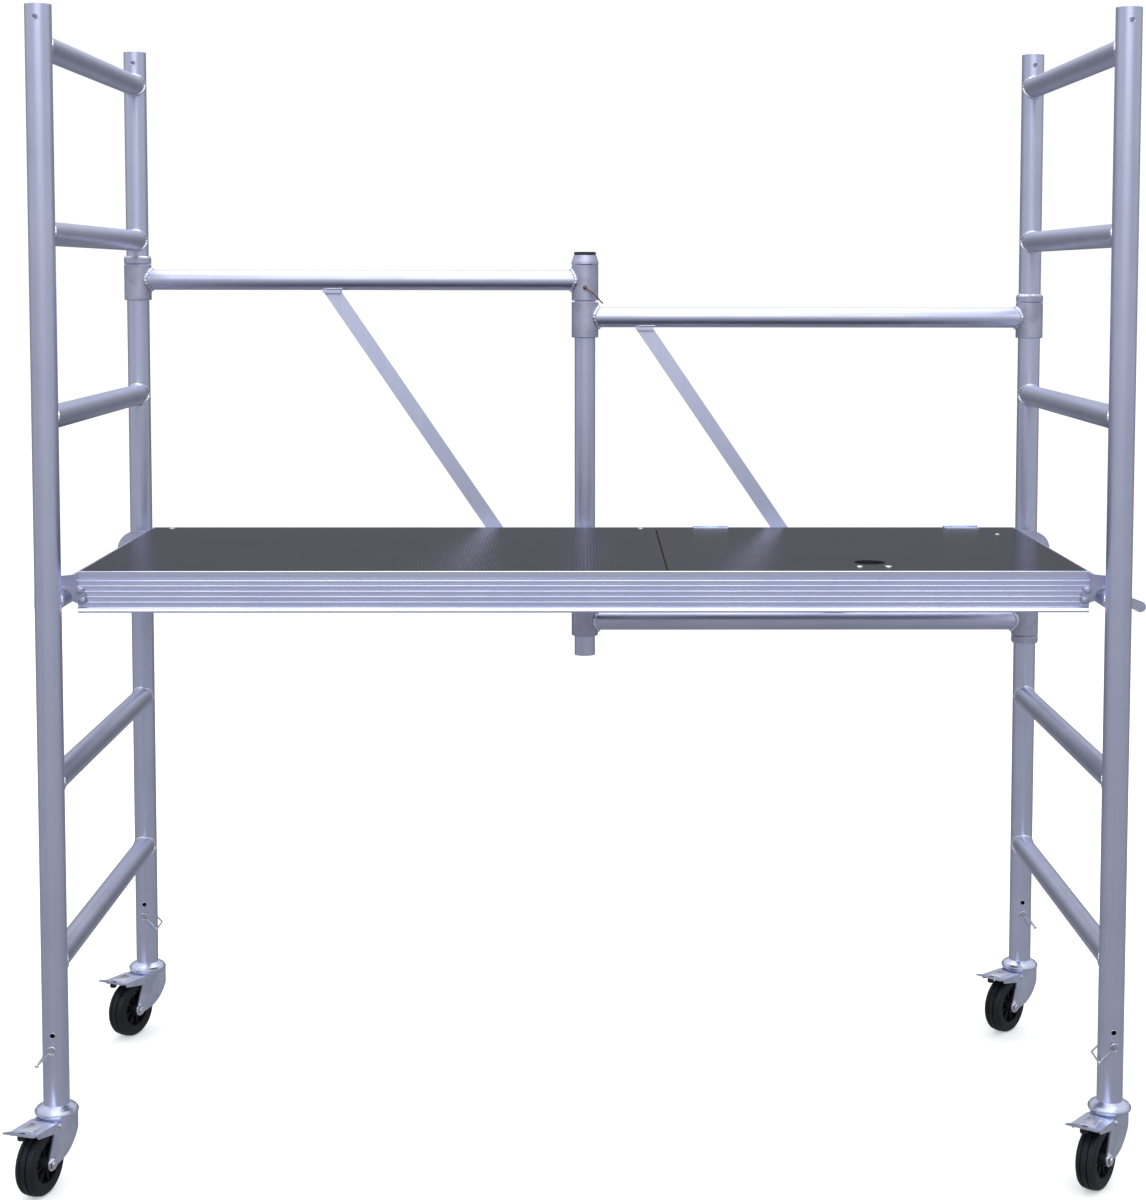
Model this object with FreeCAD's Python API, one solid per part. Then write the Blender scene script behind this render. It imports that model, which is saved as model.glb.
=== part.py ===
import FreeCAD, Part
import math
import os

from FreeCAD import Vector

# Baker scaffold: two ladder frames on braked casters, a folding rear gate of two
# panels, and a hook-on platform with a hatch. Millimetres, Z up, floor at Z = 0.
# X runs along the platform, Y from the open front to the gate at the rear.

# ---- Driving dimensions -------------------------------------------------------

# Ladder frames
post_spacing = 1634.0  # between left and right post axes
frame_width = 700.0  # between front and rear post axes
post_diameter = 40.0
post_wall = 2.0
rung_diameter = 37.0
rung_wall = 2.0
rung_count = 6
rung_pitch = 280.0
lowest_rung = 345.0
post_above_top_rung = 60.0
spigot_hole_diameter = 8.0
spigot_hole_drop = 20.0
spare_hole_height = 112.0  # above the post bottom
lock_hole_height = 90.0

# Casters
wheel_diameter = 100.0
caster_headroom = 25.0  # from the wheel's top to the post's foot
wheel_width = 31.0
wheel_chamfer = 1.5
tyre_depth = 16.0
caster_trail = 50.0
fork_inside = 36.0
fork_sheet = 3.0
dome_diameter = 67.0
dome_height = 14.0
crown_diameter = 58.0
crown_height = 5.0
stem_length = 100.0
stem_ream = 0.6  # the post's bore is opened by this much round the stem
stem_gap = 0.2
stem_room = 20.0  # of opened bore above the stem
kingpin_diameter = 14.0
axle_diameter = 10.0
pivot_pin_diameter = 5.0
pivot_setback = 22.0  # from the axle towards the stem
pivot_rise = 1.0  # above the wheel's top
pedal_reach = 109.0
pedal_width = 48.0
pedal_sheet = 2.5
lock_pin_diameter = 6.0
lock_wire = 3.0
bail_clearance = 3.3  # between the post and the bail round it
bail_coil = 6.0
caster_headings = {
    "front_left": 252.0,
    "front_right": 234.0,
    "rear_left": 243.0,
    "rear_right": 227.0,
}
bail_sides = {
    "front_left": -1,
    "front_right": -1,
    "rear_left": 1,
    "rear_right": 1,
}

# Folding gate
gate_tube_diameter = 37.0
gate_tube_wall = 2.0
centre_post_diameter = 38.0
centre_post_wall = 2.0
sleeve_wall = 4.15
sleeve_height = 65.0
sleeve_outward = 28.0  # of the sleeve's height beyond the tube axis
sleeve_stack_gap = 2.5
stop_ring_height = 12.5
ring_below_rung = 11.5
centre_post_tail = 36.5  # below the lowest sleeve
collar_height = 18.0
plug_height = 6.0
brace_width = 27.0
brace_thickness = 4.0
brace_outer_inset = 354.5  # brace's upper end, from the outer post axis
brace_inner_inset = 109.5  # brace's lower end, from the centre post axis
clip_drop = 13.0  # below the upper left tube's axis
clip_pin_diameter = 5.0

# Platform
deck_end_gap = 32.5  # from a post's axis to the end of the rails
deck_side_gap = 53.0  # from a post's axis to the rail's outer face
rail_height = 65.0
rail_above_rung = 40.5
rail_web = 5.0
groove_count = 6
groove_pitch = 8.45
first_groove = 12.5
groove_width = 4.2
top_groove_width = 5.4
groove_floor = 0.8
foot_slope_top = 7.8  # above the rail's bottom
foot_slope_depth = 1.6
lip = 3.0
ledge_width = 16.0
bottom_flange = 22.0
flange_sheet = 3.0
board_thickness = 12.0
board_end_inset = 3.0
board_corner = 8.0
seam_from_right_end = 656.0
seam_width = 2.5
beam_width = 40.0
beam_wall = 2.0
finger_hole_diameter = 51.0
finger_hole_from_front = 106.0
hatch_latch_setback = 27.0
hinge_width = 62.0
hinge_offset = 228.0  # each side of the hatch's middle
hinge_leaf = 1.5
hinge_leaf_reach = 26.0
hinge_barrel = 4.8
hinge_pin = 2.4
claw_plate = 6.0
claw_play = 4.5  # round the rung
claw_recess_inward = 2.5
claw_recess_drop = 3.3
claw_wall = 10.0
claw_lip_drop = 22.0
catch_pivot_gap = 8.3  # outward of the rung
catch_pivot_drop = 6.0
catch_length = 20.0
catch_pivot_width = 15.0
catch_width = 17.0
catch_plate = 4.0
catch_droop = 24.0

# Clearances
loose = 0.35  # sleeves turning on posts, radial
running = 0.1  # pins and bolts that turn, radial
slip = 0.3  # flat faces of different moving pieces

# Place of the middle of the four posts. The casters trail to the front left,
# so this keeps the whole object centred over the origin.
middle_x = 8.0
middle_y = 39.0

# ---- Derived places -----------------------------------------------------------

post_bottom = wheel_diameter + caster_headroom
deck_length = post_spacing - 2 * deck_end_gap
deck_width = frame_width - 2 * deck_side_gap
half_length = post_spacing / 2
half_width = frame_width / 2
post_radius = post_diameter / 2
rung_radius = rung_diameter / 2
gate_tube_radius = gate_tube_diameter / 2
sleeve_radius = post_radius + loose + sleeve_wall
centre_radius = centre_post_diameter / 2
rung_heights = [lowest_rung + n * rung_pitch for n in range(rung_count)]
post_top = rung_heights[-1] + post_above_top_rung
deck_rung = rung_heights[2]
posts = {
    "front_left": (-half_length, -half_width),
    "front_right": (half_length, -half_width),
    "rear_left": (-half_length, half_width),
    "rear_right": (half_length, half_width),
}

gate_rise = 2 * rung_pitch
stop_top = rung_heights[4] - rung_radius - ring_below_rung
left_upper_tube = stop_top - stop_ring_height - slip - sleeve_outward
left_lower_tube = left_upper_tube - gate_rise
gate_step = sleeve_height + sleeve_stack_gap
right_upper_tube = left_upper_tube - gate_step
right_lower_tube = left_lower_tube - gate_step

rail_top = deck_rung + rail_above_rung
rail_bottom = rail_top - rail_height
ledge_top = rail_top - board_thickness - slip
deck_half = deck_length / 2
rail_face = deck_width / 2
seam = deck_half - seam_from_right_end
hatch_left = seam + seam_width / 2
hatch_right = deck_half - board_end_inset
hatch_middle = (seam + deck_half) / 2
board_edge = rail_face - lip - slip
hinge_y = board_edge - slip
hinge_z = rail_top + hinge_barrel / 2 + slip / 2


# ---- Shape helpers ------------------------------------------------------------


def block(x0, x1, y0, y1, z0, z1):
    return Part.makeBox(x1 - x0, y1 - y0, z1 - z0, Vector(x0, y0, z0))


def rod(radius, start, end):
    start = Vector(*start)
    along = Vector(*end) - start
    return Part.makeCylinder(radius, along.Length, start, along)


def pipe(radius, bore, start, end):
    return rod(radius, start, end).cut(rod(bore, start, end))


def union(shapes):
    return shapes[0].multiFuse(shapes[1:]).removeSplitter()


def plate_xz(points, y0, y1):
    # A flat plate in the XZ plane: each entry is a corner (x, z), or three numbers
    # (x, z, "via") that bend the way to the next corner into an arc.
    edges = []
    corners = [p for p in points] + [points[0]]
    here = corners[0]
    via = None
    for point in corners[1:]:
        if len(point) == 3:
            via = point
            continue
        a = Vector(here[0], y0, here[1])
        b = Vector(point[0], y0, point[1])
        if via is None:
            edges.append(Part.makeLine(a, b))
        else:
            edges.append(Part.Arc(a, Vector(via[0], y0, via[1]), b).toShape())
        here = point
        via = None
    face = Part.Face(Part.Wire(edges))
    return face.extrude(Vector(0, y1 - y0, 0))


def profile_yz(points, x0, x1):
    corners = [Vector(x0, y, z) for y, z in points]
    face = Part.Face(Part.makePolygon(corners + corners[:1]))
    return face.extrude(Vector(x1 - x0, 0, 0))


def turned(points, base, axis):
    # A solid of revolution: points are (radius, height along the axis).
    corners = [Vector(r, 0, h) for r, h in points]
    face = Part.Face(Part.makePolygon(corners + corners[:1]))
    solid = face.revolve(Vector(0, 0, 0), Vector(0, 0, 1), 360)
    turn = FreeCAD.Rotation(Vector(0, 0, 1), Vector(*axis))
    solid.Placement = FreeCAD.Placement(Vector(*base), turn)
    return solid


def mirrored_y(shape):
    return shape.mirror(Vector(0, 0, 0), Vector(0, 1, 0))


def mirrored_x(shape):
    return shape.mirror(Vector(0, 0, 0), Vector(1, 0, 0))


# ---- Ladder frames ------------------------------------------------------------


def post(corner):
    x, y = posts[corner]
    bore = post_radius - post_wall
    tube = pipe(post_radius, bore, (x, y, post_bottom), (x, y, post_top))
    reamed = (x, y, post_bottom - 1), (x, y, post_bottom + stem_length + stem_room)
    tube = tube.cut(rod(bore + stem_ream, *reamed))
    holes = (
        (post_top - spigot_hole_drop, spigot_hole_diameter / 2),
        (post_bottom + spare_hole_height, spigot_hole_diameter / 2),
        (post_bottom + lock_hole_height, lock_pin_diameter / 2 + running),
    )
    for z, radius in holes:
        reach = post_radius + 1
        tube = tube.cut(rod(radius, (x, y - reach, z), (x, y + reach, z)))
    return tube


def rungs(x):
    made = []
    for z in rung_heights:
        ends = (x, -half_width, z), (x, half_width, z)
        tube = pipe(rung_radius, rung_radius - rung_wall, *ends)
        for y in (-half_width, half_width):
            post_solid = rod(post_radius, (x, y, post_bottom), (x, y, post_top))
            tube = tube.cut(post_solid)
        made.append(tube)
    return Part.makeCompound(made)


def stop_ring(x, bottom):
    # A collar welded to a rear post, with its two rims eased.
    edge = 1.5
    top = bottom + stop_ring_height
    return turned(
        [
            (post_radius, bottom),
            (sleeve_radius - edge, bottom),
            (sleeve_radius, bottom + edge),
            (sleeve_radius, top - edge),
            (sleeve_radius - edge, top),
            (post_radius, top),
        ],
        (x, half_width, 0),
        (0, 0, 1),
    )


def stop_rings(x, upper_tube, lower_tube):
    above = upper_tube + sleeve_outward + slip
    below = lower_tube - sleeve_outward - slip - stop_ring_height
    return Part.makeCompound([stop_ring(x, above), stop_ring(x, below)])


# ---- Casters ------------------------------------------------------------------
# Each caster is drawn with its stem on the Z axis and its wheel trailing along +X,
# then turned to its heading under its post.

wheel_radius = wheel_diameter / 2
wheel_top = wheel_diameter
dome_bottom = post_bottom - dome_height
plate_bottom = dome_bottom - crown_height
plate_top = plate_bottom + fork_sheet
leg_inside = fork_inside / 2
leg_outside = leg_inside + fork_sheet
pivot_x = caster_trail - pivot_setback
pivot_z = wheel_top + pivot_rise


def stem():
    radius = post_radius - post_wall + stem_ream - stem_gap
    rim = dome_diameter / 2
    king = kingpin_diameter / 2
    head_top = plate_bottom - slip
    body = turned(
        [
            (0, post_bottom + stem_length),
            (radius - 2, post_bottom + stem_length),
            (radius, post_bottom + stem_length - 2),
            (radius, post_bottom),
            (post_radius + 1, post_bottom),
            (rim - 7, post_bottom - 3.0),
            (rim - 3, post_bottom - 5.5),
            (rim - 0.5, post_bottom - 9.0),
            (rim, dome_bottom + 3.0),
            (rim - 1, dome_bottom),
            (king, dome_bottom),
            (king, head_top),
            (king + 4, head_top),
            (king + 3, head_top - 3.5),
            (0, head_top - 3.5),
        ],
        (0, 0, 0),
        (0, 0, 1),
    )
    z = post_bottom + lock_hole_height
    hole = rod(lock_pin_diameter / 2 + running, (0, -radius - 1, z), (0, radius + 1, z))
    return body, hole


def leg(y0, y1):
    # Rounded behind the stem, straight along the brake side, with a round end
    # about the axle.
    back = -(crown_diameter / 2 - 2)
    boss = 9.0
    axle_x = caster_trail
    axle_z = wheel_radius
    return plate_xz(
        [
            (back, plate_top),
            (back, axle_z + 30),
            (back + 15, axle_z + 10, "via"),
            (axle_x - 28, axle_z - 5.5),
            (axle_x - 2, axle_z - 8.8),
            (axle_x + 7, axle_z - 5.6, "via"),
            (axle_x + 8.7, axle_z + 2.5),
            (axle_x - 15, plate_top),
        ],
        y0,
        y1,
    )


def fork():
    crown = rod(crown_diameter / 2, (0, 0, plate_bottom), (0, 0, dome_bottom - slip))
    legs = [leg(leg_inside, leg_outside), leg(-leg_outside, -leg_inside)]
    back = -(crown_diameter / 2 - 2)
    bridge = block(
        back, caster_trail - 15, -leg_outside, leg_outside, plate_bottom, plate_top
    )
    body = union([crown, bridge] + legs)
    hole = kingpin_diameter / 2 + running
    body = body.cut(rod(hole, (0, 0, plate_bottom - 1), (0, 0, dome_bottom + 1)))
    for x, z, radius in (
        (caster_trail, wheel_radius, axle_diameter / 2),
        (pivot_x, pivot_z, pivot_pin_diameter / 2),
    ):
        body = body.cut(rod(radius, (x, -60, z), (x, 60, z)))
    return body


def hexagon(x, z, across, y0, y1):
    radius = across / math.sqrt(3)
    corners = []
    for n in range(6):
        angle = math.radians(30 + 60 * n)
        corners.append((x + radius * math.cos(angle), z + radius * math.sin(angle)))
    return plate_xz(corners, y0, y1)


def axle_bolt():
    x, z = caster_trail, wheel_radius
    head = 5.0
    shank = rod(axle_diameter / 2, (x, -leg_outside, z), (x, leg_outside, z))
    heads = [
        hexagon(x, z, axle_diameter + 5, leg_outside, leg_outside + head),
        hexagon(x, z, axle_diameter + 5, -leg_outside - head, -leg_outside),
    ]
    return union([shank] + heads)


def pivot_pin():
    x, z = pivot_x, pivot_z
    end = pedal_width / 2 + slip
    shank = rod(pivot_pin_diameter / 2, (x, -end, z), (x, end, z))
    heads = [
        rod(pivot_pin_diameter / 2 + 2, (x, end, z), (x, end + 1.5, z)),
        rod(pivot_pin_diameter / 2 + 2, (x, -end - 1.5, z), (x, -end, z)),
    ]
    return union([shank] + heads)


def hub():
    # A moulded centre: rim, thin web and a long boss that runs on the axle bolt.
    inner = wheel_radius - tyre_depth
    half = wheel_width / 2 - wheel_chamfer
    boss_half = leg_inside - 1.5
    outline = [
        (axle_diameter / 2 + running, boss_half),
        (11.0, boss_half),
        (13.0, 5.0),
        (inner - 6, 5.0),
        (inner - 4, half),
        (inner, half),
    ]
    outline += [(r, -h) for r, h in reversed(outline)]
    return turned(outline, (caster_trail, 0, wheel_radius), (0, 1, 0))


def tyre():
    # Rounded shoulders and two grooves around the tread.
    r = wheel_radius
    inner = r - tyre_depth
    half = wheel_width / 2
    groove = 5.2
    outline = [
        (inner, half - wheel_chamfer),
        (inner + 2, half),
        (r - 7, half),
        (r - 3.2, half - 2.0),
        (r - 1.0, half - 5.0),
        (r - 0.4, groove + 1.0),
        (r - 2.2, groove + 0.6),
        (r - 2.2, groove - 0.6),
        (r, groove - 1.0),
    ]
    outline += [(radius, -y) for radius, y in reversed(outline)]
    return turned(outline, (caster_trail, 0, wheel_radius), (0, 1, 0))


def pedal():
    # A pressed pedal: sloping top, wide tip, two cheeks on the pivot pin, and a
    # shoe over the tyre.
    half = pedal_width / 2
    cheek_in = leg_outside + slip + 0.2
    root_x = dome_diameter / 2 + 4.0
    root_z = dome_bottom - 2.0
    bend_x = pedal_reach - 18
    bend_z = root_z + 2.0
    tip_z = bend_z + 4.5
    top = plate_xz(
        [
            (root_x, root_z),
            (bend_x, bend_z),
            (pedal_reach, tip_z),
            (pedal_reach, tip_z - pedal_sheet),
            (bend_x, bend_z - pedal_sheet),
            (root_x, root_z - pedal_sheet),
        ],
        -half,
        half,
    )
    flare = plate_xz(
        [
            (bend_x + 4, bend_z + 1.0),
            (pedal_reach, tip_z),
            (pedal_reach, tip_z - pedal_sheet),
            (bend_x + 4, bend_z + 1.0 - pedal_sheet),
        ],
        -half - 2,
        half + 2,
    )
    outline = [
        (pivot_x - 6, pivot_z + 2),
        (pivot_x - 2, root_z - 2),
        (root_x, root_z),
        (bend_x, bend_z),
        (bend_x - 2, bend_z - 8),
        (pivot_x + 18, pivot_z - 6),
        (pivot_x, pivot_z - 6),
    ]
    cheeks = [plate_xz(outline, cheek_in, half), plate_xz(outline, -half, -cheek_in)]
    shoe = block(
        caster_trail + 10,
        caster_trail + 22,
        -wheel_width / 3,
        wheel_width / 3,
        wheel_top + 4.5,
        bend_z - 0.5,
    )
    body = union([top, flare, shoe] + cheeks)
    hole = pivot_pin_diameter / 2 + running
    return body.cut(rod(hole, (pivot_x, -60, pivot_z), (pivot_x, 60, pivot_z)))


def lock_pin(side):
    # A wire snap pin: a pin across the post, a coil at each end, and a bail that
    # goes round the post's right side, lying 45 degrees below level. The ball on
    # the bail is at the front once a left-hand pin has been turned about.
    wire = lock_wire / 2
    coil = bail_coil
    z = post_bottom + lock_hole_height
    arm_y = post_radius + 5.0
    c = math.cos(math.radians(45))
    out_x = post_radius + bail_clearance
    out_z = z - out_x
    near = (coil * c, z - coil * c)
    shank = rod(lock_pin_diameter / 2, (0, -arm_y, z), (0, arm_y, z))
    parts = [shank]
    for y in (-arm_y, arm_y):
        ring = Part.makeTorus(coil, wire, Vector(0, y, z), Vector(0, 1, 0))
        spoke = rod(wire, (0, y, z - coil), (0, y, z + coil))
        arm = rod(wire, (near[0], y, near[1]), (out_x, y, out_z))
        elbow = Part.makeSphere(wire * 1.02, Vector(out_x, y, out_z))
        parts += [ring, spoke, arm, elbow]
    parts.append(rod(wire, (out_x, -arm_y, out_z), (out_x, arm_y, out_z)))
    ball = Part.makeSphere(wire * 2, Vector(out_x, -side * arm_y, out_z))
    return union(parts + [ball])


# ---- Folding gate -------------------------------------------------------------


def gate_tube(x0, x1, z):
    ends = (x0, half_width, z), (x1, half_width, z)
    tube = pipe(gate_tube_radius, gate_tube_radius - gate_tube_wall, *ends)
    for x in (x0, x1):
        low = (x, half_width, z - sleeve_height)
        high = (x, half_width, z + sleeve_height)
        tube = tube.cut(rod(sleeve_radius, low, high))
    return tube


def sleeve(x, z0, bore):
    edge = 1.0
    z1 = z0 + sleeve_height
    return turned(
        [
            (bore, z0),
            (sleeve_radius - edge, z0),
            (sleeve_radius, z0 + edge),
            (sleeve_radius, z1 - edge),
            (sleeve_radius - edge, z1),
            (bore, z1),
        ],
        (x, half_width, 0),
        (0, 0, 1),
    )


def clip_hole():
    z = left_upper_tube - clip_drop
    reach = sleeve_radius + 1
    radius = clip_pin_diameter / 2 + running
    return rod(radius, (0, half_width - reach, z), (0, half_width + reach, z))


def gate_sleeves(outer_x, upper_tube, lower_tube, centre_bore):
    made = []
    inward = sleeve_height - sleeve_outward
    for x, bore in ((outer_x, post_radius + loose), (0, centre_bore)):
        upper = sleeve(x, upper_tube - inward, bore)
        lower = sleeve(x, lower_tube - sleeve_outward, bore)
        if x == 0 and upper_tube == left_upper_tube:
            upper = upper.cut(clip_hole())
        made += [upper, lower]
    return Part.makeCompound(made)


def brace(upper_x, lower_x, upper_tube, lower_tube):
    # A flat bar between the two tubes, with a bent foot welded to each.
    foot = 5.0
    high = upper_tube - gate_tube_radius
    low = lower_tube + gate_tube_radius
    run = lower_x - upper_x
    across = brace_width * math.hypot(run, high - low) / (high - low) / 2
    y0 = half_width - brace_thickness / 2
    y1 = half_width + brace_thickness / 2
    bar = plate_xz(
        [
            (upper_x - across, high - foot / 2),
            (upper_x + across, high - foot / 2),
            (lower_x + across, low + foot / 2),
            (lower_x - across, low + foot / 2),
        ],
        y0,
        y1,
    )
    feet = [
        block(upper_x - across, upper_x + across, y0 - 8, y1 + 8, high - foot, high + 4),
        block(lower_x - across, lower_x + across, y0 - 8, y1 + 8, low - 4, low + foot),
    ]
    body = union([bar] + feet)
    for z in (upper_tube, lower_tube):
        end = max(abs(upper_x), abs(lower_x)) + 100
        body = body.cut(rod(gate_tube_radius, (-end, half_width, z), (end, half_width, z)))
    return body


lowest_sleeve = right_lower_tube - sleeve_outward
centre_post_bottom = lowest_sleeve - centre_post_tail
collar_bottom = left_upper_tube + sleeve_outward
centre_post_top = collar_bottom + collar_height


def centre_post():
    low = (0, half_width, centre_post_bottom)
    high = (0, half_width, centre_post_top)
    tube = pipe(centre_radius, centre_radius - centre_post_wall, low, high)
    return tube.cut(clip_hole())


def centre_collar():
    # A coned ring that closes the stack of sleeves at the top.
    z0 = collar_bottom
    z1 = centre_post_top
    return turned(
        [
            (centre_radius, z0),
            (sleeve_radius - 1, z0),
            (sleeve_radius + 0.5, z0 + 2),
            (sleeve_radius, z0 + 6),
            (centre_radius + 1.5, z1),
            (centre_radius, z1),
        ],
        (0, half_width, 0),
        (0, 0, 1),
    )


def centre_plug():
    bore = centre_radius - centre_post_wall
    z = centre_post_top
    return turned(
        [
            (0, z - 25),
            (bore, z - 25),
            (bore, z),
            (centre_radius + 1, z),
            (centre_radius + 1, z + plug_height - 1),
            (centre_radius, z + plug_height),
            (0, z + plug_height),
        ],
        (0, half_width, 0),
        (0, 0, 1),
    )


def gate_clip():
    # A pin through the upper left sleeve and the centre post, with a short wire
    # that hangs round to the right.
    z = left_upper_tube - clip_drop
    ball = 4.0
    reach = sleeve_radius + ball + slip
    y = half_width
    shank = rod(clip_pin_diameter / 2, (0, y - reach, z), (0, y + reach, z))
    head = Part.makeSphere(ball, Vector(0, y - reach, z))
    path = (
        (0, y - reach - 1, z),
        (12, y - reach - 1, z - 8),
        (24, y - reach + 6, z - 20),
        (32, y - 13, z - 28.5),
    )
    wire = []
    for a, b in zip(path, path[1:]):
        wire += [rod(1.3, a, b), Part.makeSphere(1.32, Vector(*b))]
    return union([shank, head] + wire)


# ---- Platform -----------------------------------------------------------------


def side_rail():
    # The front rail: a ribbed outer face, a lip beside the board, a ledge under it
    # and a flange at the bottom.
    out = -rail_face
    web = out + rail_web
    outline = [(out, rail_bottom + 1.5), (out + 1.5, rail_bottom)]
    outline += [
        (web + bottom_flange, rail_bottom),
        (web + bottom_flange, rail_bottom + flange_sheet),
        (web, rail_bottom + flange_sheet),
        (web, ledge_top - flange_sheet),
        (web + ledge_width, ledge_top - flange_sheet),
        (web + ledge_width, ledge_top),
        (out + lip, ledge_top),
        (out + lip, rail_top),
        (out + 0.8, rail_top),
        (out, rail_top - 0.8),
    ]
    for n in range(groove_count):
        # Both sides of a groove slope at 45 degrees.
        z = rail_top - first_groove - n * groove_pitch
        mouth = (top_groove_width if n == 0 else groove_width) / 2
        floor = groove_floor / 2
        depth = mouth - floor
        outline += [
            (out, z + mouth),
            (out + depth, z + floor),
            (out + depth, z - floor),
            (out, z - mouth),
        ]
    # A slope along the foot that faces up and out.
    outline += [
        (out, rail_bottom + foot_slope_top),
        (out + foot_slope_depth, rail_bottom + foot_slope_top - foot_slope_depth / 2),
        (out, rail_bottom + foot_slope_top - 3 * foot_slope_depth),
    ]
    rail = profile_yz(outline, -deck_half, deck_half)
    for d, z in claw_rivets_at:
        for side in (-1, 1):
            x = side * (half_length - d)
            rail = rail.cut(rod(claw_rivet, (x, out - 1, z), (x, web + 1, z)))
    return rail


def cross_beams():
    # Rectangular tubes between the rails: one at each end, one under the seam, and
    # one under the middle of the fixed board.
    web = rail_face - rail_web
    low = rail_bottom + flange_sheet
    shoulder = ledge_top - flange_sheet
    inner = web - ledge_width
    end = deck_half - beam_width / 2 - board_end_inset
    places = (-end, (seam - deck_half) / 2, seam, end)
    made = []
    for x in places:
        half = beam_width / 2
        body = union(
            [
                block(x - half, x + half, -web, web, low, shoulder),
                block(x - half, x + half, -inner, inner, shoulder - 1, ledge_top),
            ]
        )
        cavity = block(
            x - half + beam_wall,
            x + half - beam_wall,
            -web - 1,
            web + 1,
            low + beam_wall,
            shoulder - beam_wall,
        )
        made.append(body.cut(cavity))
    return Part.makeCompound(made)


def board(x0, x1, z0, right_end):
    # A board with small cut corners at its outer end.
    y = board_edge
    c = board_corner
    if right_end:
        points = [(x0, -y), (x1 - c, -y), (x1, c - y), (x1, y - c), (x1 - c, y), (x0, y)]
    else:
        points = [(x0 + c, -y), (x1, -y), (x1, y), (x0 + c, y), (x0, y - c), (x0, c - y)]
    corners = [Vector(px, py, z0) for px, py in points]
    face = Part.Face(Part.makePolygon(corners + corners[:1]))
    return face.extrude(Vector(0, 0, board_thickness))


def deck_board():
    left = -deck_half + board_end_inset
    return board(left, seam - seam_width / 2, ledge_top, False)


finger_y = -rail_face + finger_hole_from_front


def hatch_board():
    body = board(hatch_left, hatch_right, rail_top - board_thickness, True)
    low = (hatch_middle, finger_y, rail_top - board_thickness - 1)
    high = (hatch_middle, finger_y, rail_top + 1)
    body = body.cut(rod(finger_hole_diameter / 2, low, high))
    for x, y in latch_rivets_at:
        body = body.cut(rod(2.5, (x, y, low[2]), (x, y, high[2])))
    # The rear edge stops short of the lip where the hinge barrels lie.
    strip = block(
        hatch_left - 1,
        hatch_right + 1,
        hinge_y - slip,
        board_edge + 1,
        rail_bottom,
        rail_top + 1,
    )
    return body.cut(strip)


latch_y = finger_y - finger_hole_diameter / 2 - hatch_latch_setback
latch_rivets_at = (
    (hatch_middle - 23.0, latch_y),
    (hatch_middle + 23.0, latch_y),
)


def hatch_latch():
    # A small strap under the hatch's front edge, on two rivets through the board.
    low = rail_top - board_thickness
    strap = block(
        hatch_middle - 32,
        hatch_middle + 32,
        latch_y - 4,
        latch_y + 10,
        low - 2,
        low,
    )
    made = [strap]
    for x, y in latch_rivets_at:
        made.append(rod(2.5, (x, y, low), (x, y, rail_top)))
        made.append(
            turned([(0, 0), (5, 0), (3.5, 1.4), (0, 1.8)], (x, y, rail_top), (0, 0, 1))
        )
    return union(made)


def hinge_places():
    return (hatch_middle - hinge_offset, hatch_middle + hinge_offset)


def barrel(x0, x1):
    ends = (x0, hinge_y, hinge_z), (x1, hinge_y, hinge_z)
    return rod(hinge_barrel / 2, *ends), rod(hinge_pin / 2 + 0.05, *ends)


def moving_leaves():
    # Each leaf lies on the hatch and has the long middle knuckle.
    made = []
    for x in hinge_places():
        half = hinge_width / 2
        knuckle = hinge_width / 4
        clear = hinge_barrel / 2 + slip
        leaf = block(
            x - half,
            x + half,
            hinge_y - hinge_leaf_reach,
            hinge_y - clear,
            rail_top,
            rail_top + hinge_leaf,
        )
        neck = block(
            x - knuckle,
            x + knuckle,
            hinge_y - clear - 1,
            hinge_y,
            rail_top + slip / 2,
            rail_top + hinge_leaf,
        )
        turned_over, bore = barrel(x - knuckle, x + knuckle)
        made.append(union([leaf, neck, turned_over]).cut(bore))
    return Part.makeCompound(made)


def fixed_leaves():
    # Each leaf has two short knuckles and folds down over the rail's outer face.
    made = []
    for x in hinge_places():
        half = hinge_width / 2
        knuckle = hinge_width / 4 + slip
        sides = []
        bores = []
        for a, b in ((x - half, x - knuckle), (x + knuckle, x + half)):
            turned_over, bore = barrel(a, b)
            top = block(a, b, hinge_y, rail_face + hinge_leaf, rail_top, hinge_z - 1)
            sides += [turned_over, top]
            bores.append(bore)
        drop = block(
            x - half,
            x + half,
            rail_face,
            rail_face + hinge_leaf,
            rail_top - 18,
            rail_top + hinge_leaf,
        )
        leaf = union(sides + [drop])
        for bore in bores:
            leaf = leaf.cut(bore)
        made.append(leaf)
    return Part.makeCompound(made)


def hinge_pins():
    made = []
    for x in hinge_places():
        half = hinge_width / 2 + 1
        ends = (x - half, hinge_y, hinge_z), (x + half, hinge_y, hinge_z)
        made.append(rod(hinge_pin / 2, *ends))
    return Part.makeCompound(made)


claw_rivet = 3.2
claw_rivets_at = ((half_length - deck_half + 4.0, deck_rung + 11.0),)
claw_rivets_at += ((half_length - deck_half + 8.0, deck_rung - 4.5),)
catch_pivot_out = rung_radius + catch_pivot_gap
catch_pivot = (half_length + catch_pivot_out, deck_rung - catch_pivot_drop)
claw_recess = rung_radius + claw_play
claw_outer = claw_recess + claw_wall


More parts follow.
